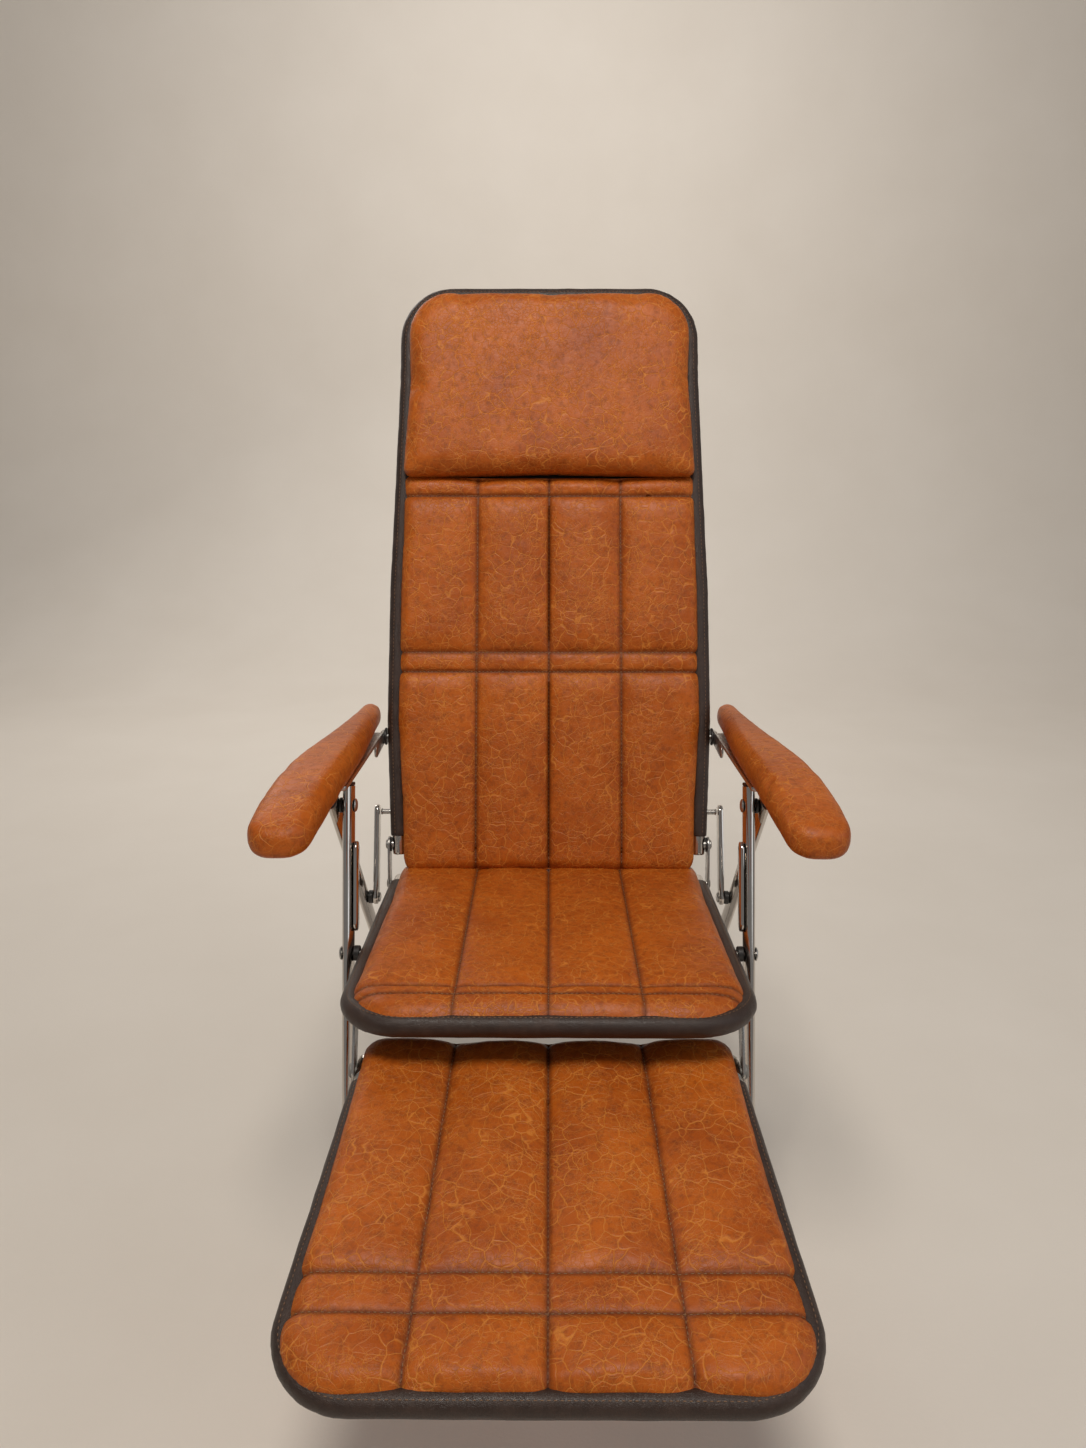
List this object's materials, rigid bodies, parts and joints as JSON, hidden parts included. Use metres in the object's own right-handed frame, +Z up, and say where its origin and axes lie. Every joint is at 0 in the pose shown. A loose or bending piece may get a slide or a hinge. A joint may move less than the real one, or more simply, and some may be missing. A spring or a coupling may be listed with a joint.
{
  "type": "folding chair",
  "caption": "High-backed folding relax chair with quilted cushions, a head pillow, padded arms and a hinged footrest on an oval tube frame.",
  "frame": {"origin": "on the floor, under the middle of the chair's bounding box with the footrest out", "axes": "+Z up, the sitter faces -Y, +X to the right of someone facing the chair"},
  "size_m": [0.585, 1.0509, 1.1754],
  "materials": {
    "chrome_tube": "polished",
    "steel": "satin zinc",
    "leather": "crackle-grained artificial leather",
    "binding": "smooth vinyl",
    "black_plastic": "moulded",
    "grey_cap": "moulded",
    "lining": "woven",
    "rubber": "moulded"
  },
  "bodies": {
    "front_base": {"front_leg_frame": "chrome_tube", "front_glide_left": "rubber", "front_glide_right": "rubber", "front_leg_plug_left": "black_plastic", "front_leg_plug_right": "black_plastic", "top_bolt_left": "steel", "top_bolt_right": "steel", "top_spacer_left": "black_plastic", "top_spacer_right": "black_plastic", "stop_strip_left": "chrome_tube", "stop_strip_right": "chrome_tube", "seat_bolt_left": "steel", "seat_bolt_right": "steel", "seat_spacer_left": "black_plastic", "seat_spacer_right": "black_plastic"},
    "rear_legs": {"rear_leg_frame": "chrome_tube", "rear_glide_left": "rubber", "rear_glide_right": "rubber", "rear_leg_plug_left": "black_plastic", "rear_leg_plug_right": "black_plastic", "link_bolt_left": "steel", "link_bolt_right": "steel", "link_spacer_left": "black_plastic", "link_spacer_right": "black_plastic"},
    "seat": {"seat_frame": "chrome_tube", "seat_binding": "binding", "seat_pad": "leather", "seat_board": "lining", "hinge_plate_left": "steel", "hinge_plate_right": "steel", "plate_screw_left": "steel", "plate_screw_right": "steel", "foot_bracket_left": "steel", "foot_bracket_right": "steel", "foot_bolt_left": "grey_cap", "foot_bolt_right": "grey_cap"},
    "footrest": {"footrest_frame": "chrome_tube", "footrest_binding": "binding", "footrest_pad": "leather", "footrest_under_pad": "leather"},
    "hinge_rod": {"hinge_shaft": "steel", "hinge_washer_left": "black_plastic", "hinge_washer_right": "black_plastic"},
    "back": {"back_frame": "chrome_tube", "back_binding": "binding", "back_pad": "leather", "head_pillow": "leather", "back_board": "lining", "arm_bolt_left": "steel", "arm_bolt_right": "steel", "link_stud_left": "steel", "link_stud_right": "steel", "arm_bracket_left": "black_plastic", "arm_bracket_right": "black_plastic"},
    "arm_left": {"arm_pad_left": "leather", "arm_board_left": "steel"},
    "link_left": {"link_bar_left": "chrome_tube"},
    "arm_right": {"arm_pad_right": "leather", "arm_board_right": "steel"},
    "link_right": {"link_bar_right": "chrome_tube"}
  },
  "joints": [
    {"name": "seat_fold", "type": "hinge", "parent": "front_base", "child": "seat", "pos_m": [0, -0.0129, 0.4], "axis": [-1, 0, 0], "range_deg": [0, 95]},
    {"name": "rear_leg_fold", "type": "hinge", "parent": "front_base", "child": "rear_legs", "pos_m": [0, 0.0391, 0.566], "axis": [-1, 0, 0], "range_deg": [0, 48]},
    {"name": "hinge_rod_turn", "type": "hinge", "parent": "seat", "child": "hinge_rod", "pos_m": [0, 0.23527, 0.43678], "axis": [1, 0, 0], "range_deg": [0, 95]},
    {"name": "recline", "type": "hinge", "parent": "hinge_rod", "child": "back", "pos_m": [0, 0.23527, 0.43678], "axis": [-1, 0, 0], "range_deg": [0, 20]},
    {"name": "footrest_swing", "type": "hinge", "parent": "seat", "child": "footrest", "pos_m": [0, -0.16913, 0.34476], "axis": [1, 0, 0], "range_deg": [-10, 55]},
    {"name": "arm_fold_left", "type": "hinge", "parent": "back", "child": "arm_left", "pos_m": [-0.2284, 0.27883, 0.57927], "axis": [-1, 0, 0], "range_deg": [0, 95]},
    {"name": "link_fold_left", "type": "hinge", "parent": "rear_legs", "child": "link_left", "pos_m": [-0.2365, 0.20536, 0.37134], "axis": [-1, 0, 0], "range_deg": [0, 105.7]},
    {"name": "arm_fold_right", "type": "hinge", "parent": "back", "child": "arm_right", "pos_m": [0.2284, 0.27883, 0.57927], "axis": [-1, 0, 0], "range_deg": [0, 95]},
    {"name": "link_fold_right", "type": "hinge", "parent": "rear_legs", "child": "link_right", "pos_m": [0.2365, 0.20536, 0.37134], "axis": [-1, 0, 0], "range_deg": [0, 105.7]}
  ],
  "couplings": [
    {"joint": "rear_leg_fold", "follows": "seat_fold", "ratio": 0.50526},
    {"joint": "hinge_rod_turn", "follows": "seat_fold", "ratio": 1},
    {"joint": "arm_fold_left", "follows": "seat_fold", "ratio": 1},
    {"joint": "link_fold_left", "follows": "seat_fold", "ratio": 1.1126},
    {"joint": "arm_fold_right", "follows": "seat_fold", "ratio": 1},
    {"joint": "link_fold_right", "follows": "seat_fold", "ratio": 1.1126}
  ]
}
